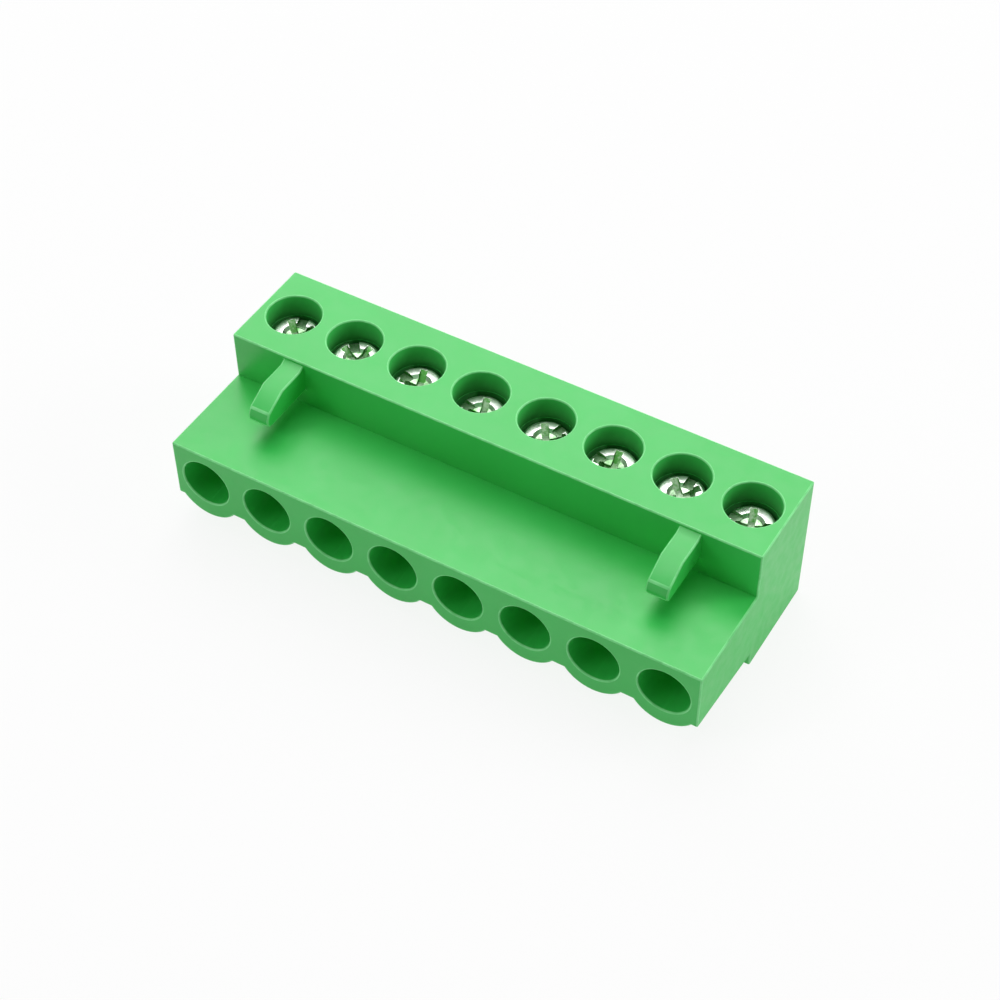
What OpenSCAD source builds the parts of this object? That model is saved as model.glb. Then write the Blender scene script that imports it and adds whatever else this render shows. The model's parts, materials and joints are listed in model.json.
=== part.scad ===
// Pluggable terminal block: a moulded plug with one screw clamp for each pole.
// X runs along the poles, Y from the nose to the wire side, Z up along the screws.
// The origin is the middle of the footprint, on the foot of the block.

/* [Row of poles] */
// Number of poles
poles = 8; // [2:1:12]
// Distance from one pole to the next
pitch = 5.08; // [5:0.02:6.4]
// Distance from an end pole's axis to the end face
end_margin = 2.54; // [2.54:0.02:4]
// Thickness of the wall between two clamp chambers
partition = 0.82; // [0.6:0.02:0.9]

/* [Block] */
// Depth of the block, from its front wall to the wire side
block_depth = 7.64; // [7.3:0.02:9]
// Height of the block, from its foot to its top
block_height = 10.8; // [10.2:0.1:13]
// Thickness of the floor under the clamp chambers
floor_wall = 0.8; // [0.5:0.05:1.2]
// Thickness of the ledge that the screw heads bear on
ledge_wall = 0.6; // [0.4:0.05:1]
// Chamfer round the mouth of each wire window
window_chamfer = 0.25; // [0.1:0.05:0.35]

/* [Nose] */
// Length of the nose, from the block's front wall to the mating face
nose_length = 7.8; // [7:0.1:10]
// Drop from the top of the block to the deck of the nose
deck_drop = 3.84; // [3.2:0.02:4]
// Height of the nose's underside above the foot, at the mating face
nose_floor_front = 2.12; // [1.9:0.02:2.3]
// Height of the nose's underside above the foot, where it meets the block
nose_floor_back = 1.22; // [1.15:0.02:1.9]
// Radius of the lobes under the nose
lobe_radius = 2.6; // [2.3:0.05:3]
// How far each lobe hangs below the underside of the nose
lobe_drop = 1.05; // [0.6:0.05:1.1]

/* [Pin sockets] */
// Diameter of a pin socket
socket_diameter = 3.74; // [3.4:0.02:3.9]
// Depth of the round mouth of a pin socket
socket_depth = 3; // [2:0.1:3.4]
// Height of the socket's axis above the foot
socket_height = 4.22; // [4.1:0.02:4.4]

/* [Latch hooks] */
// Width of a latch hook
hook_width = 1.62; // [1:0.02:3]
// How far a hook reaches out from the front wall
hook_reach = 4.45; // [3.5:0.05:6]
// Drop from the top of the block to the back of a hook
hook_drop = 0.45; // [0.3:0.05:0.8]
// Drop from the top of the block to the underside of a hook
hook_underside_drop = 2.5; // [2.2:0.05:2.8]
// Length of the level back of a hook
hook_shoulder = 2.5; // [1:0.1:3]
// Height of the front face of a hook
hook_face = 0.95; // [0.6:0.05:1.2]
// Chamfer at the tip of a hook
hook_tip = 0.25; // [0.1:0.05:0.3]

/* [Clamp screws] */
// Diameter of the screw access hole
access_diameter = 3.9; // [3.8:0.02:4]
// Depth from the top of the block to a screw head
head_depth = 1.85; // [1:0.05:2.4]
// Diameter of a screw head
head_diameter = 3.4; // [3.2:0.02:3.46]
// Height of a screw head
head_height = 1.5; // [1.2:0.05:1.8]
// Diameter of the screw thread
thread_diameter = 3; // [2.5:0.1:3]
// Width of the blade slot
slot_width = 0.72; // [0.4:0.02:0.8]
// Depth of the blade slot
slot_depth = 0.4; // [0.3:0.05:0.7]
// Width of the arms of the cross recess
cross_width = 0.58; // [0.4:0.02:0.7]
// Depth of the cross recess
cross_depth = 1; // [0.8:0.05:1.1]
// Length of the arms of the cross recess, from tip to tip
cross_span = 2.7; // [1.8:0.1:2.8]
// Width of the rounded rim on top of a screw head
head_rim = 0.3; // [0.1:0.05:0.3]

/* [Clamp cages] */
// Depth of a clamp cage along the wire
cage_depth = 4.6; // [4:0.1:4.8]
// Thickness of the threaded top of a cage
cage_top = 1; // [0.8:0.05:1.2]
// Thickness of the bottom of a cage
cage_bottom = 0.6; // [0.4:0.05:0.8]
// Thickness of the sides of a cage
cage_side = 0.55; // [0.4:0.05:0.6]
// Outer corner radius of a cage
cage_corner = 0.45; // [0.2:0.05:0.6]
// Depth of the grip grooves in a cage
grip_depth = 0.12; // [0.05:0.01:0.2]

/* [Spring contacts] */
// Thickness of the contact's tail
tail_thickness = 0.5; // [0.4:0.05:0.6]
// Width of the contact's tail
tail_width = 2.6; // [2:0.1:2.6]
// Thickness of the spring arms
arm_thickness = 0.3; // [0.2:0.02:0.35]
// Height of the spring arms
arm_height = 1.6; // [1.2:0.05:1.7]
// Gap between the spring arms where they grip the pin
pin_gap = 0.84; // [0.6:0.02:1]
// Gap between the tips of the spring arms
mouth_gap = 1.6; // [1.2:0.05:1.8]
// Length of the flared tips of the spring arms
tip_length = 1.3; // [1:0.05:1.6]
// Length of the folded base that joins the arms
fold_length = 1.6; // [1.2:0.05:2]

/* [Clearances] */
// Play round a cage and above and below it
cage_play = 0.06; // [0.05:0.01:0.1]
// Play round a screw head in its seat
head_play = 0.05; // [0.03:0.01:0.08]
// Play round the thread in the cage's tapped hole
thread_play = 0.05; // [0.03:0.01:0.08]
// Play round a contact in the housing
contact_play = 0.1; // [0.05:0.01:0.15]
// Room above the spring arms in their cavity
spring_headroom = 0.19; // [0.1:0.01:0.3]

/* [Hidden] */

$fn = 48;
over = 0.5;                                   // how far cuts and joined forms run past a face

moulding_green = [0.20, 0.72, 0.32];
nickel_plate = [0.80, 0.81, 0.80];
cage_plate = [0.70, 0.71, 0.72];
tin_bronze = [0.78, 0.72, 0.62];

// Outline of the housing
row_length = (poles - 1) * pitch + 2 * end_margin;
y_front = -(nose_length + block_depth) / 2;
y_wall = y_front + nose_length;
y_back = y_wall + block_depth;
screw_y = y_wall + block_depth / 2;
deck_z = block_height - deck_drop;
nose_fall = atan((nose_floor_front - nose_floor_back) / nose_length);
function pole_x(i) = (i - (poles + 1) / 2) * pitch;
hook_x = (poles / 2 - 1) * pitch;

// Levels of the clamp, from the top down
head_top = block_height - head_depth;
head_seat = head_top - head_height;
ledge_z = head_seat - ledge_wall;
cage_highest = ledge_z - cage_play;
cage_lowest = floor_wall + cage_play;
// The tail lies where the open and the closed cage clear it by the same play
tail_top = (cage_highest + cage_lowest + tail_thickness + cage_bottom - cage_top) / 2;
cage_height = tail_top + cage_play + cage_top - cage_lowest;
cage_travel = cage_highest - cage_lowest - cage_height;
screw_tip = tail_top + cage_play;

// Widths of the clamp
chamber_width = pitch - partition;
chamber_front = screw_y - cage_depth / 2 - cage_play;
cage_width = chamber_width - 2 * cage_play;

// Spring cavity in the nose
spring_width = tail_width + 2 * contact_play;
spring_front = y_front + socket_depth;
spring_back = y_wall + (chamber_front - y_wall) / 2;
contact_front = spring_front + 2 * contact_play;
contact_root = spring_back - contact_play;
contact_base = tail_top - tail_thickness;
tail_end = screw_y + cage_depth / 2;

// Heading of each blade slot as seen from above, and of the cross, which is pressed before the slot is sawn
slot_headings = [100, 130, 172, 178, 68, 172, 85, 176];
cross_headings = [49, 74, 12, 12, 35, 8, 48, 16];

// Rectangle with round corners, centred on the origin
module rounded_plate(w, h, r) {
    square([w - 2 * r, h], center = true);
    square([w, h - 2 * r], center = true);
    for (x = [-1, 1], y = [-1, 1])
        translate([x * (w / 2 - r), y * (h / 2 - r)])
            circle(r);
}

// Extrudes a side view, drawn as [y, z], along X and centres it
module side_view(width) {
    rotate([90, 0, 90])
        linear_extrude(width, center = true)
            children();
}

// Block and nose in one side view, with the step of the deck and the falling underside
module body() {
    side_view(row_length)
        polygon([
            [y_back, 0],
            [y_back, block_height],
            [y_wall, block_height],
            [y_wall, deck_z],
            [y_front, deck_z],
            [y_front, nose_floor_front],
            [y_wall, nose_floor_back],
            [y_wall, 0]
        ]);
}

// Round keel under each pole, which falls with the underside and ends in the block
module lobes() {
    lobe_z = nose_floor_front - lobe_drop + lobe_radius;
    intersection() {
        for (i = [1:poles])
            translate([pole_x(i), y_front, lobe_z])
                rotate([-(90 + nose_fall), 0, 0])
                    translate([0, 0, -lobe_radius])
                        cylinder(r = lobe_radius, h = nose_length + 2 * lobe_radius);
        translate([-row_length / 2, y_front, 0])
            cube([row_length, nose_length + over, lobe_z]);
    }
}

// Latch hook that snaps over the wall of the header
module hook() {
    top = block_height - hook_drop;
    under = block_height - hook_underside_drop;
    side_view(hook_width)
        polygon([
            [y_wall + over, block_height - hook_tip],
            [y_wall, block_height - hook_tip],
            [y_wall - hook_drop, top],
            [y_wall - hook_shoulder, top],
            [y_wall - hook_reach + hook_tip, under + hook_face + hook_tip],
            [y_wall - hook_reach, under + hook_face - hook_tip],
            [y_wall - hook_reach, under + hook_tip],
            [y_wall - hook_reach + hook_tip, under],
            [y_wall + over, under]
        ]);
}

// Round pin socket, the cavity of the spring arms behind it and the slot of the tail
module socket_cut() {
    translate([0, y_front - over, socket_height])
        rotate([-90, 0, 0])
            cylinder(d = socket_diameter, h = socket_depth + over);
    translate([-spring_width / 2, spring_front - over, contact_base - contact_play])
        cube([spring_width, spring_back - spring_front + over, arm_height + contact_play + spring_headroom]);
    translate([-spring_width / 2, spring_back - over, contact_base - contact_play])
        cube([spring_width, chamber_front - spring_back + 2 * over, tail_thickness + 2 * contact_play]);
}

// Access hole, head seat and shank hole of a clamp screw
module screw_cut() {
    translate([0, screw_y, head_top + head_play])
        cylinder(d = access_diameter, h = head_depth + over);
    translate([0, screw_y, head_seat])
        cylinder(d = head_diameter + 2 * head_play, h = head_height + over);
    translate([0, screw_y, ledge_z - over])
        cylinder(d = thread_diameter + 4 * thread_play, h = ledge_wall + 2 * over);
}

// Clamp chamber, open to the wire side through a chamfered window
module chamber_cut() {
    translate([-chamber_width / 2, chamber_front, floor_wall])
        cube([chamber_width, y_back - chamber_front + over, ledge_z - floor_wall]);
    flare = window_chamfer + over;
    translate([0, 0, floor_wall])
        linear_extrude(ledge_z - floor_wall)
            polygon([
                [-chamber_width / 2, y_back - window_chamfer],
                [chamber_width / 2, y_back - window_chamfer],
                [chamber_width / 2 + flare, y_back + over],
                [-chamber_width / 2 - flare, y_back + over]
            ]);
    side_view(chamber_width)
        polygon([
            [y_back - window_chamfer, floor_wall],
            [y_back + over, floor_wall - flare],
            [y_back + over, ledge_z + flare],
            [y_back - window_chamfer, ledge_z]
        ]);
}

module housing() {
    color(moulding_green)
        difference() {
            union() {
                body();
                lobes();
                for (side = [-1, 1])
                    translate([side * hook_x, 0, 0])
                        hook();
            }
            for (i = [1:poles])
                translate([pole_x(i), 0, 0]) {
                    socket_cut();
                    screw_cut();
                    chamber_cut();
                }
        }
}

// Plan view of one spring arm: it closes in to grip the pin and flares at its tip
module spring_arm() {
    steps = 10;
    root = tail_width / 2 - arm_thickness;
    grip_y = contact_front + tip_length;
    straight_y = contact_root - fold_length;
    ease = [for (s = [0:steps]) (1 - cos(180 * s / steps)) / 2];
    inner = concat(
        [[root, contact_root], [root, straight_y]],
        [for (s = [1:steps])
            [root + (pin_gap / 2 - root) * ease[s], straight_y + (grip_y - straight_y) * s / steps]],
        [for (s = [1:steps])
            [(pin_gap + (mouth_gap - pin_gap) * ease[s]) / 2, grip_y + (contact_front - grip_y) * s / steps]]
    );
    last = len(inner) - 1;
    polygon(concat(inner, [for (s = [0:last]) inner[last - s] + [arm_thickness, 0]]));
}

// Spring contact folded from one strip: arms, folded base and tail
module contact(i) {
    color(tin_bronze)
        translate([pole_x(i), 0, 0]) {
            for (side = [0, 1])
                mirror([side, 0, 0])
                    translate([0, 0, contact_base])
                        linear_extrude(arm_height)
                            spring_arm();
            translate([-tail_width / 2, contact_root - fold_length, contact_base])
                cube([tail_width, fold_length + tail_end - contact_root, tail_thickness]);
        }
}

// Rising cage, folded into a box, with a tapped top and grip grooves inside its bottom
module clamp_cage(i) {
    grooves = 3;
    inner_width = cage_width - 2 * cage_side;
    groove_pitch = cage_depth / (grooves + 1);
    color(cage_plate)
        translate([pole_x(i), screw_y, cage_lowest])
            difference() {
                translate([0, 0, cage_height / 2])
                    rotate([90, 0, 0])
                        linear_extrude(cage_depth, center = true)
                            rounded_plate(cage_width, cage_height, cage_corner);
                translate([-inner_width / 2, -cage_depth / 2 - over, cage_bottom])
                    cube([inner_width, cage_depth + 2 * over, cage_height - cage_top - cage_bottom]);
                translate([0, 0, cage_height - cage_top - over])
                    cylinder(d = thread_diameter + 2 * thread_play, h = cage_top + 2 * over);
                for (g = [1:grooves])
                    translate([0, -cage_depth / 2 + g * groove_pitch, cage_bottom])
                        rotate([45, 0, 0])
                            cube([inner_width, grip_depth * sqrt(2), grip_depth * sqrt(2)], center = true);
            }
}

// Clamp screw with a blade slot across its head and a cross recess
module clamp_screw(i) {
    head_radius = head_diameter / 2;
    thread_radius = thread_diameter / 2;
    slot_heading = slot_headings[(i - 1) % len(slot_headings)];
    cross_heading = cross_headings[(i - 1) % len(cross_headings)];
    color(nickel_plate)
        translate([pole_x(i), screw_y, 0])
            difference() {
                rotate_extrude()
                    polygon([
                        [0, screw_tip],
                        [thread_radius - head_rim, screw_tip],
                        [thread_radius, screw_tip + head_rim],
                        [thread_radius, head_seat],
                        [head_radius, head_seat],
                        [head_radius, head_top - head_rim],
                        [head_radius - head_rim, head_top],
                        [0, head_top]
                    ]);
                rotate([0, 0, slot_heading])
                    translate([-head_radius - over, -slot_width / 2, head_top - slot_depth])
                        cube([head_diameter + 2 * over, slot_width, slot_depth + over]);
                for (arm = [0, 90])
                    rotate([0, 0, cross_heading + arm])
                        translate([-cross_span / 2, -cross_width / 2, head_top - cross_depth])
                            cube([cross_span, cross_width, cross_depth + over]);
            }
}

housing();
for (i = [1:poles]) {
    contact(i);
    clamp_cage(i);
    clamp_screw(i);
}
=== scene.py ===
"""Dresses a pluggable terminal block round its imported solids

It adds the moulded housing, the clamp screws, the rising cages and the spring contacts, and sets them
on a plain studio floor with soft lights and a camera.
"""

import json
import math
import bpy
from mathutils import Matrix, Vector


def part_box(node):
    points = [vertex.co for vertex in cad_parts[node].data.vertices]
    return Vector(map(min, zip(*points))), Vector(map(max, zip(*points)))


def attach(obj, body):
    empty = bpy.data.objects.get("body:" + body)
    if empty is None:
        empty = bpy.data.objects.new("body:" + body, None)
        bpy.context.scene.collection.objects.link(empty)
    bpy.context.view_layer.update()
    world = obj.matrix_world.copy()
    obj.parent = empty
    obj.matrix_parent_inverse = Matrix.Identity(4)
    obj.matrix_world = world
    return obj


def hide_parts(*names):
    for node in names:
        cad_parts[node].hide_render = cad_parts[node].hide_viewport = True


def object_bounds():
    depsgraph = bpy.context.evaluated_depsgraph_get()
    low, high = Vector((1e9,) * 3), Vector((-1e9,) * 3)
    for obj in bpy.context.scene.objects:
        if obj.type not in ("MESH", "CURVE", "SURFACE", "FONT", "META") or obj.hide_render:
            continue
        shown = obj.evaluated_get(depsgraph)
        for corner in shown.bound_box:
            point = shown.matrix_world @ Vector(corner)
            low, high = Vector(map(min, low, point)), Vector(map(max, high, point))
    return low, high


bl_info = {
    "name": "Pluggable Terminal Block",
    "version": (1, 0, 0),
    "blender": (4, 5, 0),
    "location": "3D View > Sidebar > Terminal Block",
    "description": "Adds the housing, clamp screws, cages and contacts of a pluggable terminal block",
    "category": "Object",
}

import bmesh
import bpy
from bpy.props import FloatProperty, FloatVectorProperty, PointerProperty
from bpy.types import Operator, Panel, PropertyGroup
from mathutils import Matrix, Vector

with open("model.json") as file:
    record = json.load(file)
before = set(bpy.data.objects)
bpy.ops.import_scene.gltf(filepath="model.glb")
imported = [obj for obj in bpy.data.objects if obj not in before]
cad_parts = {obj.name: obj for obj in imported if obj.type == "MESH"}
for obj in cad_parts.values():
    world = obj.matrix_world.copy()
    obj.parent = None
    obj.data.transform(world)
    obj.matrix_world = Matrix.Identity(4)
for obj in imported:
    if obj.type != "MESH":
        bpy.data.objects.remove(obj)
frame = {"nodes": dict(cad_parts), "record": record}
CAD_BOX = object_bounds()

MM = 0.001

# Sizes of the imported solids
POLES = sum(name.startswith("clamp_screw_") for name in frame["nodes"])
SCREW_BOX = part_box("clamp_screw_1")
HEAD_TOP = SCREW_BOX[1].z
HEAD_RADIUS = (SCREW_BOX[1].x - SCREW_BOX[0].x) / 2
SCREW_TIP = SCREW_BOX[0].z
SCREW_Y = (SCREW_BOX[0].y + SCREW_BOX[1].y) / 2
HOUSING_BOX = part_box("housing")
MOUNTS = {m["name"]: m for m in frame["record"]["mounts"]}
WALL_Y = MOUNTS["header_stop"]["pos_m"][1]
DECK_Z = 2 * MOUNTS["header_stop"]["pos_m"][2] - HOUSING_BOX[1].z
SOCKET_FLOOR_Z = MOUNTS["pin_socket_1"]["pos_m"][2] - MOUNTS["pin_socket_1"]["dims"]["r_mm"] * MM
DRIVER_HOLE_RADIUS = MOUNTS["driver_hole_1"]["dims"]["r_mm"] * MM
HEAD_HEIGHT = 1.5 * MM
SHANK_RADIUS = 1.5 * MM

# The seat round each packed head lies within this gap of it and between these two heights
SEAT_GAP = 0.1 * MM
SEAT_BAND = (HEAD_TOP - 1.6 * MM, HEAD_TOP + 0.1 * MM)

# How each screw was left, pole by pole: headings of slot and cross in degrees, rise of the head in mm
SLOT_HEADINGS = (100, 130, 172, 178, 68, 172, 85, 176)
CROSS_HEADINGS = (49, 74, 12, 12, 35, 8, 48, 16)
HEAD_LIFTS = (0.20, 0.25, 0.20, 0.0, 0.10, 0.15, 0.20, 0.05)

# Half section of the small bowl in the middle of a head, as radius and height from the top of the head
BOWL = [(0, -0.5 * MM), (0.78 * MM, -0.36 * MM), (1.0 * MM, 0), (1.0 * MM, 0.3 * MM), (0, 0.3 * MM)]

# Name, place, side and power setting of each soft light
LIGHTS = (
    ("Top light", (-0.07, 0.08, 0.485), 0.4, "top_power"),
    ("Key light", (-0.19, 0.315, 0.34), 0.38, "key_power"),
    ("Left light", (-0.27, -0.27, 0.30), 0.2, "left_power"),
    ("Side light", (0.40, 0.25, 0.20), 0.25, "side_power"),
)

# Place of the camera in metres, and its turn about X, Y and Z in degrees
CAMERA_PLACE = (0.0513058, -0.0833691, 0.1108483)
CAMERA_TURN = (42.785, 0.288, 30.686)

# The floor lies this far below the foot of the block, so that the two faces stay apart
FLOOR_DROP = 0.02 * MM
WHITE = (1.0, 1.0, 1.0, 1.0)


# Settings that a user would change


class HousingSettings(PropertyGroup):
    """Sizes and colours of the moulded housing"""

    edge_radius: FloatProperty(
        name="Edge radius",
        description="Radius of the moulded edges and rims",
        default=0.12 * MM,
        min=0.02 * MM,
        max=0.15 * MM,
        unit="LENGTH",
        precision=5,
    )
    colour: FloatVectorProperty(
        name="Plastic",
        description="Main colour of the moulding compound",
        subtype="COLOR",
        default=(0.044, 0.600, 0.100),
        min=0,
        max=1,
    )
    deep_colour: FloatVectorProperty(
        name="Plastic, deeper",
        description="Colour where the compound is slightly richer in pigment",
        subtype="COLOR",
        default=(0.038, 0.570, 0.088),
        min=0,
        max=1,
    )
    # Painted highlight: a paler green for the rounded edges, standing in for the light they catch
    edge_highlight_colour: FloatVectorProperty(
        name="Plastic, edges",
        description="Paler colour of the rounded edges, where the moulding is rubbed and thin",
        subtype="COLOR",
        default=(0.220, 0.840, 0.290),
        min=0,
        max=1,
    )
    # Painted shade: a darker green deep in the screw holes, standing in for the shade inside them
    bore_shade_colour: FloatVectorProperty(
        name="Plastic, bores",
        description="Darker colour deep in the screw holes, where swarf and oil from the screws collect",
        subtype="COLOR",
        default=(0.004, 0.170, 0.015),
        min=0,
        max=1,
    )
    seat_play: FloatProperty(
        name="Head gap",
        description="Width of the dark gap round each screw head",
        default=0.22 * MM,
        min=0.05 * MM,
        max=0.24 * MM,
        unit="LENGTH",
        precision=5,
    )
    roughness: FloatProperty(
        name="Roughness",
        description="Mean roughness of the moulded faces",
        default=0.36,
        min=0.1,
        max=0.8,
        subtype="FACTOR",
    )
    grain_size: FloatProperty(
        name="Grain size",
        description="Width of the fine grain left by the mould",
        default=0.09 * MM,
        min=0.02 * MM,
        max=0.5 * MM,
        unit="LENGTH",
        precision=5,
    )


class ScrewSettings(PropertyGroup):
    """Sizes and finish of the clamp screws"""

    slot_width: FloatProperty(
        name="Slot width",
        description="Width of the sawn blade slot",
        default=0.72 * MM,
        min=0.3 * MM,
        max=1 * MM,
        unit="LENGTH",
        precision=5,
    )
    slot_depth: FloatProperty(
        name="Slot depth",
        description="Depth of the sawn blade slot",
        default=0.3 * MM,
        min=0.2 * MM,
        max=0.8 * MM,
        unit="LENGTH",
        precision=5,
    )
    cross_width: FloatProperty(
        name="Cross width",
        description="Width of the arms of the pressed cross",
        default=0.58 * MM,
        min=0.3 * MM,
        max=0.8 * MM,
        unit="LENGTH",
        precision=5,
    )
    cross_span: FloatProperty(
        name="Cross span",
        description="Length of the pressed cross from tip to tip",
        default=2.7 * MM,
        min=1.5 * MM,
        max=3 * MM,
        unit="LENGTH",
        precision=5,
    )
    cross_depth: FloatProperty(
        name="Cross depth",
        description="Depth of the pressed cross at its middle",
        default=0.62 * MM,
        min=0.5 * MM,
        max=1.2 * MM,
        unit="LENGTH",
        precision=5,
    )
    head_radius: FloatProperty(
        name="Head radius",
        description="Radius of the screw head",
        default=HEAD_RADIUS - 0.05 * MM,
        min=1.5 * MM,
        max=1.7 * MM,
        unit="LENGTH",
        precision=5,
    )
    dish_depth: FloatProperty(
        name="Dish",
        description="How far the top of the head sinks towards its middle",
        default=0.22 * MM,
        min=0,
        max=0.4 * MM,
        unit="LENGTH",
        precision=5,
    )
    rim_radius: FloatProperty(
        name="Rim radius",
        description="Radius of the rounded rim on top of the head",
        default=0.24 * MM,
        min=0.05 * MM,
        max=0.4 * MM,
        unit="LENGTH",
        precision=5,
    )
    edge_radius: FloatProperty(
        name="Edge radius",
        description="Radius of the edges of the head, slot and cross",
        default=0.035 * MM,
        min=0.01 * MM,
        max=0.08 * MM,
        unit="LENGTH",
        precision=5,
    )
    thread_pitch: FloatProperty(
        name="Thread pitch",
        description="Rise of the thread in one turn",
        default=0.5 * MM,
        min=0.3 * MM,
        max=1 * MM,
        unit="LENGTH",
        precision=5,
    )
    colour: FloatVectorProperty(
        name="Plating",
        description="Colour of the bright nickel plating",
        subtype="COLOR",
        default=(0.93, 0.94, 0.91),
        min=0,
        max=1,
    )
    # Painted shade and painted reflection: a dark green for the slot and cross, standing in for their shade
    # and for the green housing they reflect
    recess_shade_colour: FloatVectorProperty(
        name="Recess",
        description="Colour of the oily film on the walls of the slot and cross",
        subtype="COLOR",
        default=(0.08, 0.30, 0.06),
        min=0,
        max=1,
    )


class CageSettings(PropertyGroup):
    """Finish of the rising clamp cages"""

    edge_radius: FloatProperty(
        name="Edge radius",
        description="Radius of the stamped edges",
        default=0.05 * MM,
        min=0.01 * MM,
        max=0.1 * MM,
        unit="LENGTH",
        precision=5,
    )
    colour: FloatVectorProperty(
        name="Plating",
        description="Colour of the plated steel",
        subtype="COLOR",
        default=(0.66, 0.66, 0.64),
        min=0,
        max=1,
    )


class ContactSettings(PropertyGroup):
    """Finish of the spring contacts"""

    edge_radius: FloatProperty(
        name="Edge radius",
        description="Radius of the stamped edges",
        default=0.04 * MM,
        min=0.01 * MM,
        max=0.08 * MM,
        unit="LENGTH",
        precision=5,
    )
    colour: FloatVectorProperty(
        name="Tin plating",
        description="Colour of the tinned bronze strip",
        subtype="COLOR",
        default=(0.74, 0.71, 0.66),
        min=0,
        max=1,
    )


class StageSettings(PropertyGroup):
    """Floor, light and camera of the plain studio"""

    floor_size: FloatProperty(
        name="Floor size",
        description="Side of the square floor",
        default=3,
        min=0.5,
        max=20,
        unit="LENGTH",
    )
    floor_colour: FloatVectorProperty(
        name="Floor",
        description="Colour of the floor",
        subtype="COLOR",
        default=(0.94, 0.94, 0.94),
        min=0,
        max=1,
    )
    sky_level: FloatProperty(
        name="Sky level",
        description="Strength of the even light from all round",
        default=0.08,
        min=0,
        max=2,
    )
    top_power: FloatProperty(
        name="Top light",
        description="Power of the soft light above the block, which brightens the screw heads",
        default=1.15,
        min=0,
        max=20,
        unit="POWER",
    )
    key_power: FloatProperty(
        name="Key light",
        description="Power of the large soft light behind the block, which lays a sheen on its level faces",
        default=1.0,
        min=0,
        max=20,
        unit="POWER",
    )
    left_power: FloatProperty(
        name="Left light",
        description="Power of the soft light in front on the left, which lights the front edges",
        default=0.42,
        min=0,
        max=20,
        unit="POWER",
    )
    floor_glow: FloatProperty(
        name="Floor glow",
        description="Light that the pale table sends up to the upright faces",
        default=0.42,
        min=0,
        max=1,
    )
    side_power: FloatProperty(
        name="Side light",
        description="Power of the soft light on the right",
        default=1.0,
        min=0,
        max=20,
        unit="POWER",
    )
    lens: FloatProperty(
        name="Lens",
        description="Focal length of the camera",
        default=76.52,
        min=20,
        max=300,
        unit="CAMERA",
    )


# Meshes


def merged_copy(node, splits=()):
    """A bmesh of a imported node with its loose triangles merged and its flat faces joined

    Faces stay split at the x positions in splits, so that a face with holes becomes clean strips.
    """
    merge, flat = 0.0005 * MM, math.radians(0.6)
    bm = bmesh.new()
    bm.from_mesh(frame["nodes"][node].data)
    bmesh.ops.remove_doubles(bm, verts=bm.verts[:], dist=merge)
    for x in splits:
        geom = bm.verts[:] + bm.edges[:] + bm.faces[:]
        made = bmesh.ops.bisect_plane(bm, geom=geom, dist=merge, plane_co=(x, 0, 0), plane_no=(1, 0, 0))
        for e in made["geom_cut"]:
            if isinstance(e, bmesh.types.BMEdge):
                e.seam = True
    bmesh.ops.dissolve_limit(
        bm,
        angle_limit=flat,
        use_dissolve_boundaries=False,
        verts=bm.verts[:],
        edges=bm.edges[:],
        delimit={"SEAM"},
    )
    for e in bm.edges:
        e.seam = False
    return bm


def to_mesh(bm, name):
    """Turns a bmesh into a mesh and frees it"""
    mesh = bpy.data.meshes.new(name)
    bm.to_mesh(mesh)
    bm.free()
    return mesh


def add_piece(name, bm, material, body, replaces, smooth=32):
    """Makes a piece from a bmesh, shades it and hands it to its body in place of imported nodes"""
    mesh = to_mesh(bm, name)
    mesh.polygons.foreach_set("use_smooth", [True] * len(mesh.polygons))
    mesh.set_sharp_from_angle(angle=math.radians(smooth))
    mesh.materials.append(material)
    piece = bpy.data.objects.new(name, mesh)
    bpy.context.scene.collection.objects.link(piece)
    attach(piece, body)
    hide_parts(*replaces)
    return piece


def x_middle(name):
    """The middle of a node along the row of poles"""
    low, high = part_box(name)
    return (low.x + high.x) / 2


def pole_middles():
    """The middle of each pole along the row"""
    return [x_middle(f"clamp_screw_{i}") for i in range(1, POLES + 1)]


def is_outer(point):
    """True on the outside of the housing, False inside its sockets, chambers and screw holes

    The thin strips beside the two end windows have no room for a second rounded edge, so they count
    as inside.
    """
    low, high = HOUSING_BOX
    near, thin = 0.01 * MM, 0.3 * MM
    if point.y < low.y + near or abs(point.x) > high.x - near:
        return True
    if point.y > high.y - near:
        return abs(point.x) < high.x - thin
    if point.y > WALL_Y + near:
        return point.z < near or point.z > high.z - near
    return point.z > DECK_Z - near or point.z < SOCKET_FLOOR_Z


def round_outer_edges(bm, width):
    """Rounds the convex outer edges of the housing and marks them with an attribute that carries the
    painted highlight on the edges
    """
    sharp = math.radians(28)
    rub = bm.faces.layers.float.new("rub")
    edges = [
        e
        for e in bm.edges
        if e.is_manifold
        and e.is_convex
        and e.calc_face_angle() > sharp
        and is_outer((e.verts[0].co + e.verts[1].co) / 2)
    ]
    made = bmesh.ops.bevel(
        bm,
        geom=edges,
        offset=width,
        offset_type="OFFSET",
        segments=3,
        profile=0.5,
        affect="EDGES",
        clamp_overlap=False,
        loop_slide=True,
        material=-1,
        miter_outer="SHARP",
        miter_inner="SHARP",
    )
    # Painted highlight: the rounded faces are marked to take the paler edge colour
    for f in made["faces"]:
        f[rub] = 1.0


def mark_bores(bm):
    """Marks the walls of the screw holes with the attribute bore"""
    bore = bm.faces.layers.float.new("bore")
    reach = DRIVER_HOLE_RADIUS + 0.05 * MM
    upright = 0.5
    axes = pole_middles()
    for f in bm.faces:
        middle = f.calc_center_median()
        if abs(f.normal.z) < upright and middle.z > SEAT_BAND[0]:
            if any(math.hypot(middle.x - x, middle.y - SCREW_Y) < reach for x in axes):
                f[bore] = 1.0


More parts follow.
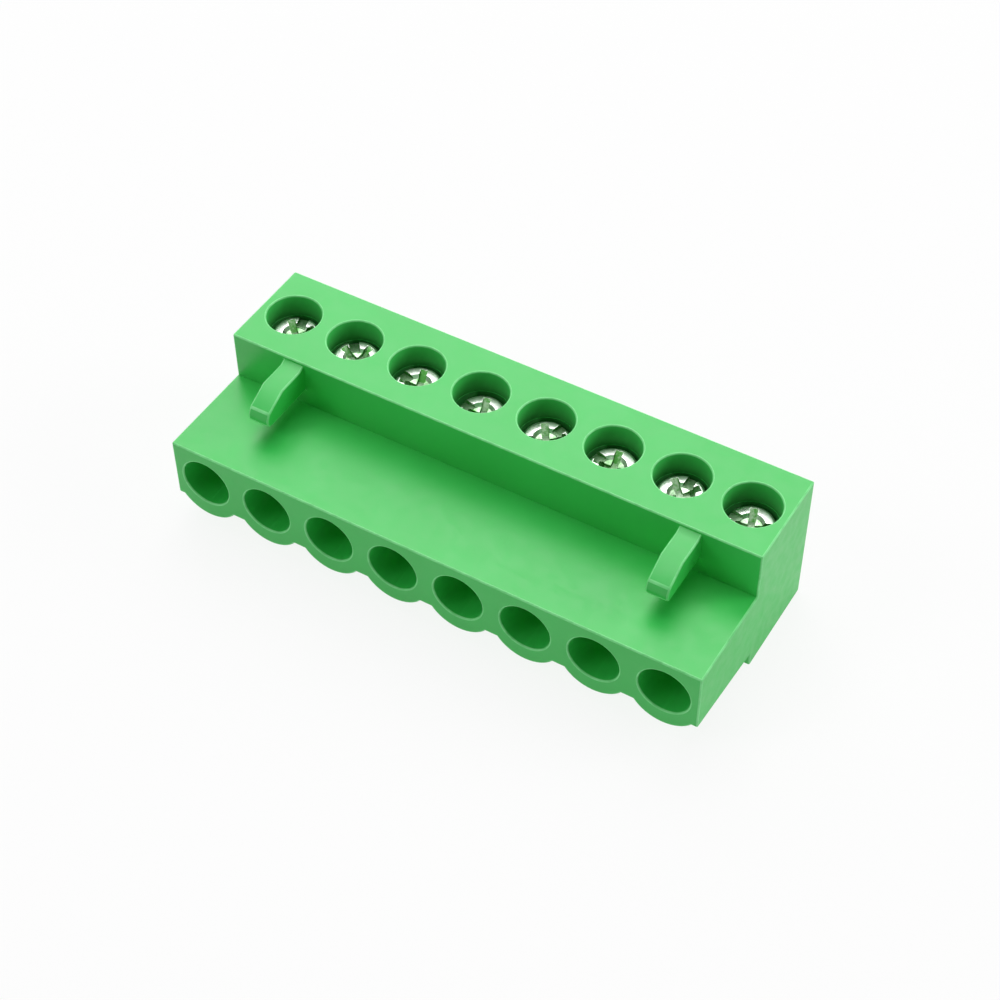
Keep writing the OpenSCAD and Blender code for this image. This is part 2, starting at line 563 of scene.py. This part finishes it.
def open_head_seats(bm, play):
    """Widens the seat round each screw head, so that a dark gap shows round the head"""
    for i in range(1, POLES + 1):
        low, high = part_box(f"clamp_screw_{i}")
        axis = (low + high) / 2
        for v in bm.verts:
            arm = Vector((v.co.x - axis.x, v.co.y - axis.y, 0))
            gap = arm.length - HEAD_RADIUS
            if 0 < gap < SEAT_GAP and SEAT_BAND[0] < v.co.z < SEAT_BAND[1]:
                v.co += arm.normalized() * (play - gap)


def round_edges(piece, width, angle=32):
    """Rounds the sharp edges of a piece and keeps its flat faces flat"""
    bevel = piece.modifiers.new("Rounded edges", "BEVEL")
    bevel.width = width
    bevel.segments = 2
    bevel.limit_method = "ANGLE"
    bevel.angle_limit = math.radians(angle)
    even_shading(piece)


def even_shading(piece):
    """Weights the normals by face, so that flat faces stay flat beside rounded edges"""
    normals = piece.modifiers.new("Even shading", "WEIGHTED_NORMAL")
    normals.mode = "FACE_AREA"
    normals.keep_sharp = True


def lathe(bm, profile, centre, steps=64):
    """Spins a profile of (radius, height) points round the vertical through centre"""
    merge = 0.0001 * MM
    points = [bm.verts.new(centre + Vector((r, 0, z))) for r, z in profile]
    edges = [bm.edges.new(pair) for pair in zip(points, points[1:])]
    bmesh.ops.spin(
        bm,
        geom=points + edges,
        cent=centre,
        axis=(0, 0, 1),
        dvec=(0, 0, 0),
        angle=math.tau,
        steps=steps,
        use_merge=True,
        use_duplicate=False,
    )
    bmesh.ops.remove_doubles(bm, verts=bm.verts[:], dist=merge)
    bmesh.ops.recalc_face_normals(bm, faces=bm.faces[:])


def cut(mesh, cutter_bm):
    """Takes one cutter away from a mesh and returns the new mesh"""
    cutter_mesh = to_mesh(cutter_bm, "cutter")
    body = bpy.data.objects.new("body", mesh)
    cutter = bpy.data.objects.new("cutter", cutter_mesh)
    for o in (body, cutter):
        bpy.context.scene.collection.objects.link(o)
    boolean = body.modifiers.new("Cut", "BOOLEAN")
    boolean.operation = "DIFFERENCE"
    boolean.solver = "EXACT"
    boolean.object = cutter
    bpy.context.view_layer.update()
    finished = body.evaluated_get(bpy.context.evaluated_depsgraph_get())
    result = bpy.data.meshes.new_from_object(finished)
    for o in (body, cutter):
        bpy.data.objects.remove(o)
    bpy.data.meshes.remove(cutter_mesh)
    bpy.data.meshes.remove(mesh)
    return result


def box_cutter(length, width, depth, centre, heading, taper=1.0, narrow=1.0):
    """A box that reaches down from just above centre, turned to its heading

    Its bottom is drawn in, by taper along its length and by narrow across it.
    """
    bm = bmesh.new()
    lift = 0.3 * MM
    bmesh.ops.create_cube(bm, size=1)
    for v in bm.verts:
        low = v.co.z < 0
        v.co.x *= length * (taper if low else 1 + (1 - taper) * lift / depth)
        v.co.y *= width * (narrow if low else 1)
        v.co.z = -depth if low else lift
    turn = Matrix.Rotation(math.radians(heading), 3, "Z")
    bmesh.ops.rotate(bm, verts=bm.verts[:], cent=(0, 0, 0), matrix=turn)
    bmesh.ops.translate(bm, verts=bm.verts[:], vec=centre)
    return bm


def head_profile(s, top, seat):
    """Half section of a screw head: dished top, rounded rim and small chamfer under it"""
    flat, chamfer = s.head_radius - s.rim_radius, 0.08 * MM
    arc = [math.radians(d) for d in (0, 22.5, 45, 67.5, 90)]
    rim = [(flat + s.rim_radius * math.sin(a), top - s.rim_radius * (1 - math.cos(a))) for a in arc]
    foot = [(s.head_radius, seat + chamfer), (s.head_radius - chamfer, seat), (0, seat)]
    return [(0, top - s.dish_depth), *rim, *foot]


def screw_mesh(x, slot_heading, cross_heading, lift, s):
    """The head of a clamp screw with a sawn slot and a pressed cross, and its threaded shank"""
    centre = Vector((x, SCREW_Y, 0))
    top = HEAD_TOP + lift * MM
    seat = HEAD_TOP - HEAD_HEIGHT
    past_rim, into_head = 4 * MM, 0.1 * MM
    bm = bmesh.new()
    lathe(bm, head_profile(s, top, seat), centre)
    mesh = to_mesh(bm, "head")
    at_top = centre + Vector((0, 0, top))
    cross = (s.cross_span, s.cross_width, s.cross_depth, at_top)
    for arm in (0, 90):
        mesh = cut(mesh, box_cutter(*cross, cross_heading + arm, taper=0.5, narrow=0.8))
    bowl = bmesh.new()
    lathe(bowl, BOWL, Vector(), 48)
    bmesh.ops.translate(bowl, verts=bowl.verts[:], vec=at_top)
    mesh = cut(mesh, bowl)
    mesh = cut(mesh, box_cutter(past_rim, s.slot_width, s.slot_depth, at_top, slot_heading))
    bm = bmesh.new()
    bm.from_mesh(mesh)
    bpy.data.meshes.remove(mesh)
    mark_recess(bm, at_top, cross_heading, s)
    add_thread(bm, centre, s.thread_pitch, SCREW_TIP, seat + into_head)
    return bm


def mark_recess(bm, at_top, cross_heading, s):
    """Marks the slot and cross with an attribute that carries their painted shade and painted green
    reflection, strongest on their walls
    """
    recess = bm.faces.layers.float.new("recess")
    # Strength of the painted shade and reflection on the walls, on the arms of the cross and in the bowl
    walls, arms, bowl = 1.0, 0.95, 0.75
    deepest, shallowest, bowl_floor = -1.2 * MM, -0.03 * MM, -0.25 * MM
    radius, inner = s.head_radius - s.rim_radius, 0.5 * MM
    steep = 0.4
    turn = Matrix.Rotation(-math.radians(cross_heading), 3, "Z")
    for f in bm.faces:
        place = turn @ (f.calc_center_median() - at_top)
        if math.hypot(place.x, place.y) > radius or not deepest < place.z < shallowest:
            continue
        across, along = sorted((abs(place.x), abs(place.y)))
        if f.normal.z < steep:
            f[recess] = walls
        elif across < s.cross_width / 2 and along > inner:
            f[recess] = arms
        elif place.z < bowl_floor:
            f[recess] = bowl


def add_thread(bm, centre, pitch, low, high, steps=24):
    """A thread spun up along its axis, cut level at both ends and closed"""
    crest, root = SHANK_RADIUS, SHANK_RADIUS - 0.3 * MM
    root_end, crest_start, crest_end = 0.12 * pitch, 0.5 * pitch, 0.62 * pitch
    merge, hair, speck = 0.001 * MM, 0.0001 * MM, 0.00001 * MM
    turns = math.ceil((high - low) / pitch) + 2
    start = low - pitch
    thread = bmesh.new()
    profile = []
    for t in range(turns):
        z = start + t * pitch
        profile += [
            (root, z),
            (root, z + root_end),
            (crest, z + crest_start),
            (crest, z + crest_end),
        ]
    profile.append((root, start + turns * pitch))
    points = [thread.verts.new(centre + Vector((r, 0, z))) for r, z in profile]
    edges = [thread.edges.new(pair) for pair in zip(points, points[1:])]
    bmesh.ops.spin(
        thread,
        geom=points + edges,
        cent=centre,
        axis=(0, 0, 1),
        dvec=(0, 0, pitch / steps),
        angle=math.tau,
        steps=steps,
        use_merge=False,
        use_duplicate=False,
    )
    bmesh.ops.remove_doubles(thread, verts=thread.verts[:], dist=merge)
    for z, way in ((low, -1), (high, 1)):
        bmesh.ops.bisect_plane(
            thread,
            geom=thread.verts[:] + thread.edges[:] + thread.faces[:],
            dist=speck,
            plane_co=(0, 0, z),
            plane_no=(0, 0, way),
            clear_outer=True,
        )
        level = [e for e in thread.edges if all(abs(v.co.z - z) < hair for v in e.verts)]
        bmesh.ops.holes_fill(thread, edges=[e for e in level if e.is_boundary], sides=0)
    bmesh.ops.recalc_face_normals(thread, faces=thread.faces[:])
    mesh = to_mesh(thread, "thread")
    bm.from_mesh(mesh)
    bpy.data.meshes.remove(mesh)


# Shared shader groups


def new_group(name, inputs, outputs):
    """A shader node group with its sockets; returns the tree and its two end nodes"""
    tree = bpy.data.node_groups.new(name, "ShaderNodeTree")
    for label, kind, default in inputs:
        socket = tree.interface.new_socket(label, in_out="INPUT", socket_type=kind)
        if default is not None:
            socket.default_value = default
    for label, kind in outputs:
        tree.interface.new_socket(label, in_out="OUTPUT", socket_type=kind)
    return tree, tree.nodes.new("NodeGroupInput"), tree.nodes.new("NodeGroupOutput")


def node(tree, kind, **values):
    """Adds a node; names with a leading in_ set its sockets by label"""
    n = tree.nodes.new(kind)
    for key, value in values.items():
        if key.startswith("in_"):
            n.inputs[key[3:].replace("_", " ")].default_value = value
        else:
            setattr(n, key, value)
    return n


def math_node(tree, operation, a, b, clamp=False):
    """Adds a math node; a and b are sockets or numbers"""
    n = tree.nodes.new("ShaderNodeMath")
    n.operation, n.use_clamp = operation, clamp
    for i, v in enumerate((a, b)):
        if isinstance(v, (int, float)):
            n.inputs[i].default_value = v
        else:
            tree.links.new(v, n.inputs[i])
    return n.outputs[0]


def grain_group():
    """Fine mottled height, as left by a mould or by rolled and plated strip"""
    tree, start, end = new_group(
        "Surface grain",
        [
            ("Vector", "NodeSocketVector", None),
            ("Scale", "NodeSocketFloat", 9000.0),
            ("Stretch", "NodeSocketFloat", 1.0),
        ],
        [("Height", "NodeSocketFloat"), ("Mottle", "NodeSocketFloat")],
    )
    squeeze = node(tree, "ShaderNodeCombineXYZ", in_Y=1.0, in_Z=1.0)
    tree.links.new(start.outputs["Stretch"], squeeze.inputs["X"])
    scaled = node(tree, "ShaderNodeVectorMath", operation="MULTIPLY")
    tree.links.new(start.outputs["Vector"], scaled.inputs[0])
    tree.links.new(squeeze.outputs[0], scaled.inputs[1])
    fine = node(tree, "ShaderNodeTexNoise", in_Detail=3.0, in_Roughness=0.6)
    tree.links.new(scaled.outputs[0], fine.inputs["Vector"])
    tree.links.new(start.outputs["Scale"], fine.inputs["Scale"])
    broad = node(tree, "ShaderNodeTexNoise", in_Detail=2.0, in_Roughness=0.5)
    broad_scale, broad_height = 0.11, 0.8
    tree.links.new(scaled.outputs[0], broad.inputs["Vector"])
    tree.links.new(math_node(tree, "MULTIPLY", start.outputs["Scale"], broad_scale), broad.inputs["Scale"])
    swell = math_node(tree, "MULTIPLY", broad.outputs["Fac"], broad_height)
    tree.links.new(math_node(tree, "ADD", fine.outputs["Fac"], swell), end.inputs["Height"])
    tree.links.new(broad.outputs["Fac"], end.inputs["Mottle"])
    return tree


def scuff_group():
    """Thin crossing rubs from handling, as a mask from 0 to 1"""
    tree, start, end = new_group(
        "Handling rubs",
        [
            ("Vector", "NodeSocketVector", None),
            ("Scale", "NodeSocketFloat", 900.0),
            ("Amount", "NodeSocketFloat", 0.5),
        ],
        [("Mask", "NodeSocketFloat")],
    )
    masks = []
    for turn, squeeze in ((0.6, 0.06), (-0.9, 0.09)):
        place = node(tree, "ShaderNodeMapping")
        place.inputs["Rotation"].default_value = (0.2, 0.15, turn)
        place.inputs["Scale"].default_value = (squeeze, 1.0, 0.5)
        tree.links.new(start.outputs["Vector"], place.inputs["Vector"])
        lines = node(tree, "ShaderNodeTexNoise", in_Detail=4.0, in_Roughness=0.7, in_Distortion=0.3)
        tree.links.new(place.outputs[0], lines.inputs["Vector"])
        tree.links.new(start.outputs["Scale"], lines.inputs["Scale"])
        masks.append(spread(tree, lines.outputs["Fac"], 0.60, 0.74, 0.0, 1.0))
    both = math_node(tree, "MAXIMUM", masks[0], masks[1])
    tree.links.new(math_node(tree, "MULTIPLY", both, start.outputs["Amount"], True), end.inputs["Mask"])
    return tree


def shared_group(name):
    """The shared group of that name, built on first use"""
    makers = {"Surface grain": grain_group, "Handling rubs": scuff_group}
    return bpy.data.node_groups.get(name) or makers[name]()


def place_group(tree, name, vector, **values):
    """Places a shared group in a material with its own values"""
    n = tree.nodes.new("ShaderNodeGroup")
    n.node_tree = shared_group(name)
    tree.links.new(vector, n.inputs["Vector"])
    for key, value in values.items():
        n.inputs[key].default_value = value
    return n


def new_material(name):
    """An empty material with its Principled shader, output and object coordinates"""
    material = bpy.data.materials.new(name)
    material.use_nodes = True
    tree = material.node_tree
    tree.nodes.clear()
    shader = tree.nodes.new("ShaderNodeBsdfPrincipled")
    out = tree.nodes.new("ShaderNodeOutputMaterial")
    tree.links.new(shader.outputs[0], out.inputs["Surface"])
    coords = tree.nodes.new("ShaderNodeTexCoord")
    return material, tree, shader, coords.outputs["Object"]


def mix_colour(tree, factor, a, b):
    """A colour mixed between a and b, each a colour or a socket"""
    n = tree.nodes.new("ShaderNodeMix")
    n.data_type = "RGBA"
    tree.links.new(factor, n.inputs["Factor"])
    for label, v in (("A", a), ("B", b)):
        socket = [i for i in n.inputs if i.name == label and i.type == "RGBA"][0]
        if isinstance(v, bpy.types.NodeSocket):
            tree.links.new(v, socket)
        else:
            socket.default_value = (*v, 1.0)
    return [o for o in n.outputs if o.type == "RGBA"][0]


def spread(tree, value, low, high, new_low, new_high):
    """Maps a value from one range to another and clamps it"""
    n = tree.nodes.new("ShaderNodeMapRange")
    for i, v in enumerate((low, high, new_low, new_high)):
        n.inputs[i + 1].default_value = v
    tree.links.new(value, n.inputs["Value"])
    return n.outputs[0]


def mix_shader(tree, factor, a, b):
    """A shader mixed between the first outputs of the nodes a and b"""
    n = tree.nodes.new("ShaderNodeMixShader")
    tree.links.new(factor, n.inputs[0])
    tree.links.new(a.outputs[0], n.inputs[1])
    tree.links.new(b.outputs[0], n.inputs[2])
    return n


def bump(tree, height, distance, strength):
    """A bump from a height"""
    n = node(tree, "ShaderNodeBump", in_Strength=strength, in_Distance=distance)
    tree.links.new(height, n.inputs["Height"])
    return n.outputs[0]


# Materials


def attribute(tree, name):
    """The value of a face attribute"""
    return node(tree, "ShaderNodeAttribute", attribute_name=name).outputs["Fac"]


def moulded_green(s):
    """Satin polyamide: pigment drift, mould grain, dulling rubs, a painted highlight on the edges and
    painted shade deep in the screw holes
    """
    speck_colour = (0.08, 0.64, 0.14)
    rub_dulling, bore_dulling, swing = 0.12, 0.4, 0.05
    material, tree, shader, place = new_material("Moulded green polyamide")
    drift = node(tree, "ShaderNodeTexNoise", in_Scale=160.0, in_Detail=2.0, in_Roughness=0.45)
    tree.links.new(place, drift.inputs["Vector"])
    grain = place_group(tree, "Surface grain", place, Scale=1 / s.grain_size)
    mottle = grain.outputs["Mottle"]
    rubs = place_group(tree, "Handling rubs", place, Scale=700.0, Amount=0.5)

    pigment = spread(tree, drift.outputs["Fac"], 0.35, 0.65, 0.0, 1.0)
    tone = mix_colour(tree, pigment, tuple(s.deep_colour), tuple(s.colour))
    tone = mix_colour(tree, spread(tree, mottle, 0.62, 0.75, 0.0, 0.1), tone, speck_colour)
    # Painted highlight: the paler edge colour laid on the rounded edges, broken into patches
    patches = spread(tree, mottle, 0.3, 0.6, 0.55, 1.0)
    edge_highlight_mask = math_node(tree, "MULTIPLY", attribute(tree, "rub"), patches)
    tone = mix_colour(tree, edge_highlight_mask, tone, tuple(s.edge_highlight_colour))
    # Painted shade: the screw hole walls grow darker downwards, standing in for the shade inside them
    height = tree.nodes.new("ShaderNodeSeparateXYZ")
    tree.links.new(place, height.inputs[0])
    bore = attribute(tree, "bore")
    depth = spread(tree, height.outputs["Z"], HOUSING_BOX[1].z - 0.2 * MM, HEAD_TOP, 0.0, 1.0)
    tone = mix_colour(tree, math_node(tree, "MULTIPLY", bore, depth), tone, tuple(s.bore_shade_colour))
    tree.links.new(tone, shader.inputs["Base Color"])

    rough = spread(tree, mottle, 0.3, 0.7, s.roughness - swing, s.roughness + swing)
    for mask, dulling in ((rubs.outputs["Mask"], rub_dulling), (bore, bore_dulling)):
        rough = math_node(tree, "ADD", rough, math_node(tree, "MULTIPLY", mask, dulling), True)
    tree.links.new(rough, shader.inputs["Roughness"])
    tree.links.new(bump(tree, grain.outputs["Height"], 0.0012 * MM, 0.6), shader.inputs["Normal"])
    shader.inputs["IOR"].default_value = 1.53
    return material


def finish_metal(tree, shader, grain, tone, smoothest, roughest, bump_distance):
    """Joins the tone, mottled roughness and fine bump of a plated metal to its shader"""
    tree.links.new(tone, shader.inputs["Base Color"])
    rough = spread(tree, grain.outputs["Mottle"], 0.25, 0.75, smoothest, roughest)
    tree.links.new(rough, shader.inputs["Roughness"])
    tree.links.new(bump(tree, grain.outputs["Height"], bump_distance, 0.8), shader.inputs["Normal"])
    shader.inputs["Metallic"].default_value = 1.0


def bright_nickel(s):
    """Barrel-plated screw: tumbling marks, a soft orange peel, duller spots, and painted shade with a
    painted green reflection in the slot and cross
    """
    bright, dull = (0.95, 0.95, 0.94), (0.62, 0.61, 0.57)
    material, tree, shader, place = new_material("Bright nickel plating")
    grain = place_group(tree, "Surface grain", place, Scale=5200.0)
    rubs = place_group(tree, "Handling rubs", place, Scale=2600.0, Amount=0.8)
    tone = mix_colour(tree, rubs.outputs["Mask"], tuple(s.colour), bright)
    tone = mix_colour(tree, spread(tree, grain.outputs["Mottle"], 0.55, 0.8, 0.0, 0.25), tone, dull)
    # Painted shade and painted reflection: dark green laid in the slot and cross, broken into patches
    patches = spread(tree, grain.outputs["Height"], 0.75, 1.05, 0.75, 1.1)
    recess_shade = math_node(tree, "MULTIPLY", attribute(tree, "recess"), patches)
    tone = mix_colour(tree, recess_shade, tone, tuple(s.recess_shade_colour))
    finish_metal(tree, shader, grain, tone, 0.26, 0.40, 0.004 * MM)
    return material


def plated_steel(s):
    """Stamped steel cage: drawn streaks along the strip, duller patches and bright rubs"""
    dull, bright = (0.50, 0.50, 0.48), (0.86, 0.86, 0.84)
    material, tree, shader, place = new_material("Plated cage steel")
    grain = place_group(tree, "Surface grain", place, Scale=4200.0, Stretch=0.12)
    rubs = place_group(tree, "Handling rubs", place, Scale=1800.0, Amount=0.7)
    patches = spread(tree, grain.outputs["Mottle"], 0.35, 0.7, 0.0, 1.0)
    tone = mix_colour(tree, patches, tuple(s.colour), dull)
    tone = mix_colour(tree, rubs.outputs["Mask"], tone, bright)
    finish_metal(tree, shader, grain, tone, 0.28, 0.46, 0.003 * MM)
    return material


def tinned_bronze(s):
    """Tinned spring strip: pale matt tin with warmer bronze where it has been rubbed"""
    bare_bronze = (0.72, 0.52, 0.30)
    material, tree, shader, place = new_material("Tinned bronze strip")
    grain = place_group(tree, "Surface grain", place, Scale=6500.0, Stretch=0.4)
    rubs = place_group(tree, "Handling rubs", place, Scale=2200.0, Amount=0.6)
    tone = mix_colour(tree, rubs.outputs["Mask"], tuple(s.colour), bare_bronze)
    finish_metal(tree, shader, grain, tone, 0.34, 0.5, 0.002 * MM)
    return material


def studio_floor(s):
    """Pale floor that reads as white and keeps a soft shadow; it can be looked through from below"""
    camera_share = 0.88
    material = bpy.data.materials.new("Studio floor")
    material.use_nodes = True
    tree = material.node_tree
    tree.nodes.clear()
    out = tree.nodes.new("ShaderNodeOutputMaterial")
    matt = node(tree, "ShaderNodeBsdfDiffuse", in_Color=(*s.floor_colour, 1.0))
    glow = node(tree, "ShaderNodeEmission", in_Color=WHITE, in_Strength=1.0)
    rays = tree.nodes.new("ShaderNodeLightPath")
    seen = math_node(tree, "MULTIPLY", rays.outputs["Is Camera Ray"], camera_share)
    seen = math_node(tree, "MAXIMUM", seen, s.floor_glow)
    table = mix_shader(tree, seen, matt, glow)
    clear = tree.nodes.new("ShaderNodeBsdfTransparent")
    below = tree.nodes.new("ShaderNodeNewGeometry")
    sides = mix_shader(tree, below.outputs["Backfacing"], table, clear)
    tree.links.new(sides.outputs[0], out.inputs["Surface"])
    return material


def studio_sky(s):
    """Even light from all round, which the camera and shiny faces see as white"""
    world = bpy.data.worlds.new("Studio")
    world.use_nodes = True
    tree = world.node_tree
    tree.nodes.clear()
    out = tree.nodes.new("ShaderNodeOutputWorld")
    sky = node(tree, "ShaderNodeBackground", in_Color=WHITE, in_Strength=s.sky_level)
    white = node(tree, "ShaderNodeBackground", in_Color=WHITE, in_Strength=1.0)
    rays = tree.nodes.new("ShaderNodeLightPath")
    shiny = math_node(tree, "MAXIMUM", rays.outputs["Is Camera Ray"], rays.outputs["Is Glossy Ray"])
    shiny = math_node(tree, "MAXIMUM", shiny, rays.outputs["Is Transmission Ray"])
    tree.links.new(mix_shader(tree, shiny, sky, white).outputs[0], out.inputs["Surface"])
    return world


# Studio


def add_floor(scene, s):
    bm = bmesh.new()
    bmesh.ops.create_grid(bm, x_segments=1, y_segments=1, size=s.floor_size / 2)
    bmesh.ops.translate(bm, verts=bm.verts[:], vec=(0, 0, -FLOOR_DROP))
    mesh = to_mesh(bm, "studio_floor")
    mesh.materials.append(studio_floor(s))
    floor = bpy.data.objects.new("studio_floor", mesh)
    scene.collection.objects.link(floor)


def add_lights(scene, s):
    """Adds the soft lights, each turned to the middle of the block"""
    middle = (CAD_BOX[0] + CAD_BOX[1]) / 2
    for name, place, size, power in LIGHTS:
        data = bpy.data.lights.new(name, "AREA")
        data.size = size
        data.energy = getattr(s, power)
        lamp = bpy.data.objects.new(name, data)
        scene.collection.objects.link(lamp)
        lamp.location = place
        lamp.rotation_euler = (middle - Vector(place)).to_track_quat("-Z", "Y").to_euler()


def add_camera(scene, s):
    """Adds the camera, which looks down on the top and the mating face"""
    data = bpy.data.cameras.new("Camera")
    data.sensor_width = 36
    data.lens = s.lens
    data.clip_start, data.clip_end = 0.001, 20
    camera = bpy.data.objects.new("Camera", data)
    scene.collection.objects.link(camera)
    camera.location = CAMERA_PLACE
    camera.rotation_euler = [math.radians(a) for a in CAMERA_TURN]
    scene.camera = camera


# Operators


class TERMINAL_OT_housing(Operator):
    """Add the moulded housing with its rounded edges"""

    bl_idname = "terminal_block.add_housing"
    bl_label = "Moulded Housing"

    def execute(self, context):
        s = context.scene.terminal_housing
        bm = merged_copy("housing", pole_middles())
        open_head_seats(bm, s.seat_play)
        round_outer_edges(bm, s.edge_radius)
        mark_bores(bm)
        piece = add_piece("moulded_housing", bm, moulded_green(s), "housing", ["housing"])
        even_shading(piece)
        return {"FINISHED"}


class TERMINAL_OT_screws(Operator):
    """Add the clamp screws, each with its own slot and cross"""

    bl_idname = "terminal_block.add_screws"
    bl_label = "Clamp Screws"

    def execute(self, context):
        s = context.scene.terminal_screws
        material = bright_nickel(s)
        for i in range(1, POLES + 1):
            name = f"clamp_screw_{i}"
            k = (i - 1) % len(SLOT_HEADINGS)
            bm = screw_mesh(x_middle(name), SLOT_HEADINGS[k], CROSS_HEADINGS[k], HEAD_LIFTS[k], s)
            piece = add_piece(f"plated_screw_{i}", bm, material, f"screw_{i}", [name], smooth=28)
            round_edges(piece, s.edge_radius, angle=40)
        return {"FINISHED"}


class TERMINAL_OT_cages(Operator):
    """Add the rising clamp cages"""

    bl_idname = "terminal_block.add_cages"
    bl_label = "Clamp Cages"

    def execute(self, context):
        s = context.scene.terminal_cages
        material = plated_steel(s)
        for i in range(1, POLES + 1):
            name = f"clamp_cage_{i}"
            bm = merged_copy(name)
            piece = add_piece(f"rising_cage_{i}", bm, material, f"cage_{i}", [name])
            round_edges(piece, s.edge_radius)
        return {"FINISHED"}


class TERMINAL_OT_contacts(Operator):
    """Add the spring contacts with their tails"""

    bl_idname = "terminal_block.add_contacts"
    bl_label = "Spring Contacts"

    def execute(self, context):
        s = context.scene.terminal_contacts
        material = tinned_bronze(s)
        for i in range(1, POLES + 1):
            name = f"contact_{i}"
            bm = merged_copy(name)
            piece = add_piece(f"spring_contact_{i}", bm, material, "housing", [name])
            round_edges(piece, s.edge_radius)
        return {"FINISHED"}


class TERMINAL_OT_stage(Operator):
    """Add the floor, the soft lights and the camera"""

    bl_idname = "terminal_block.add_stage"
    bl_label = "Studio"

    def execute(self, context):
        s = context.scene.terminal_stage
        scene = context.scene
        scene.view_settings.view_transform = "Standard"
        add_floor(scene, s)
        scene.world = studio_sky(s)
        add_lights(scene, s)
        add_camera(scene, s)
        return {"FINISHED"}


class TERMINAL_PT_sidebar(Panel):
    """Lists the pieces of the terminal block"""

    bl_label = "Terminal Block"
    bl_idname = "TERMINAL_PT_sidebar"
    bl_space_type = "VIEW_3D"
    bl_region_type = "UI"
    bl_category = "Terminal Block"

    def draw(self, context):
        scene = context.scene
        for operator, settings in PIECES:
            box = self.layout.box()
            box.operator(operator)
            group = getattr(scene, settings)
            for key in group.__annotations__:
                box.prop(group, key)


SETTINGS = (
    ("terminal_housing", HousingSettings),
    ("terminal_screws", ScrewSettings),
    ("terminal_cages", CageSettings),
    ("terminal_contacts", ContactSettings),
    ("terminal_stage", StageSettings),
)
PIECES = (
    ("terminal_block.add_stage", "terminal_stage"),
    ("terminal_block.add_housing", "terminal_housing"),
    ("terminal_block.add_contacts", "terminal_contacts"),
    ("terminal_block.add_cages", "terminal_cages"),
    ("terminal_block.add_screws", "terminal_screws"),
)
CLASSES = (
    *(group for _, group in SETTINGS),
    TERMINAL_OT_housing,
    TERMINAL_OT_screws,
    TERMINAL_OT_cages,
    TERMINAL_OT_contacts,
    TERMINAL_OT_stage,
    TERMINAL_PT_sidebar,
)


def register():
    """Registers the classes and the settings on the scene"""
    for c in CLASSES:
        bpy.utils.register_class(c)
    for name, group in SETTINGS:
        setattr(bpy.types.Scene, name, PointerProperty(type=group))


def unregister():
    """Takes the settings and classes away again"""
    for name, _ in reversed(SETTINGS):
        delattr(bpy.types.Scene, name)
    for c in reversed(CLASSES):
        bpy.utils.unregister_class(c)


def main():
    """Builds every piece in order"""
    register()
    for operator, _ in PIECES:
        group, name = operator.split(".")
        getattr(getattr(bpy.ops, group), name)()


if __name__ == "__main__":
    main()
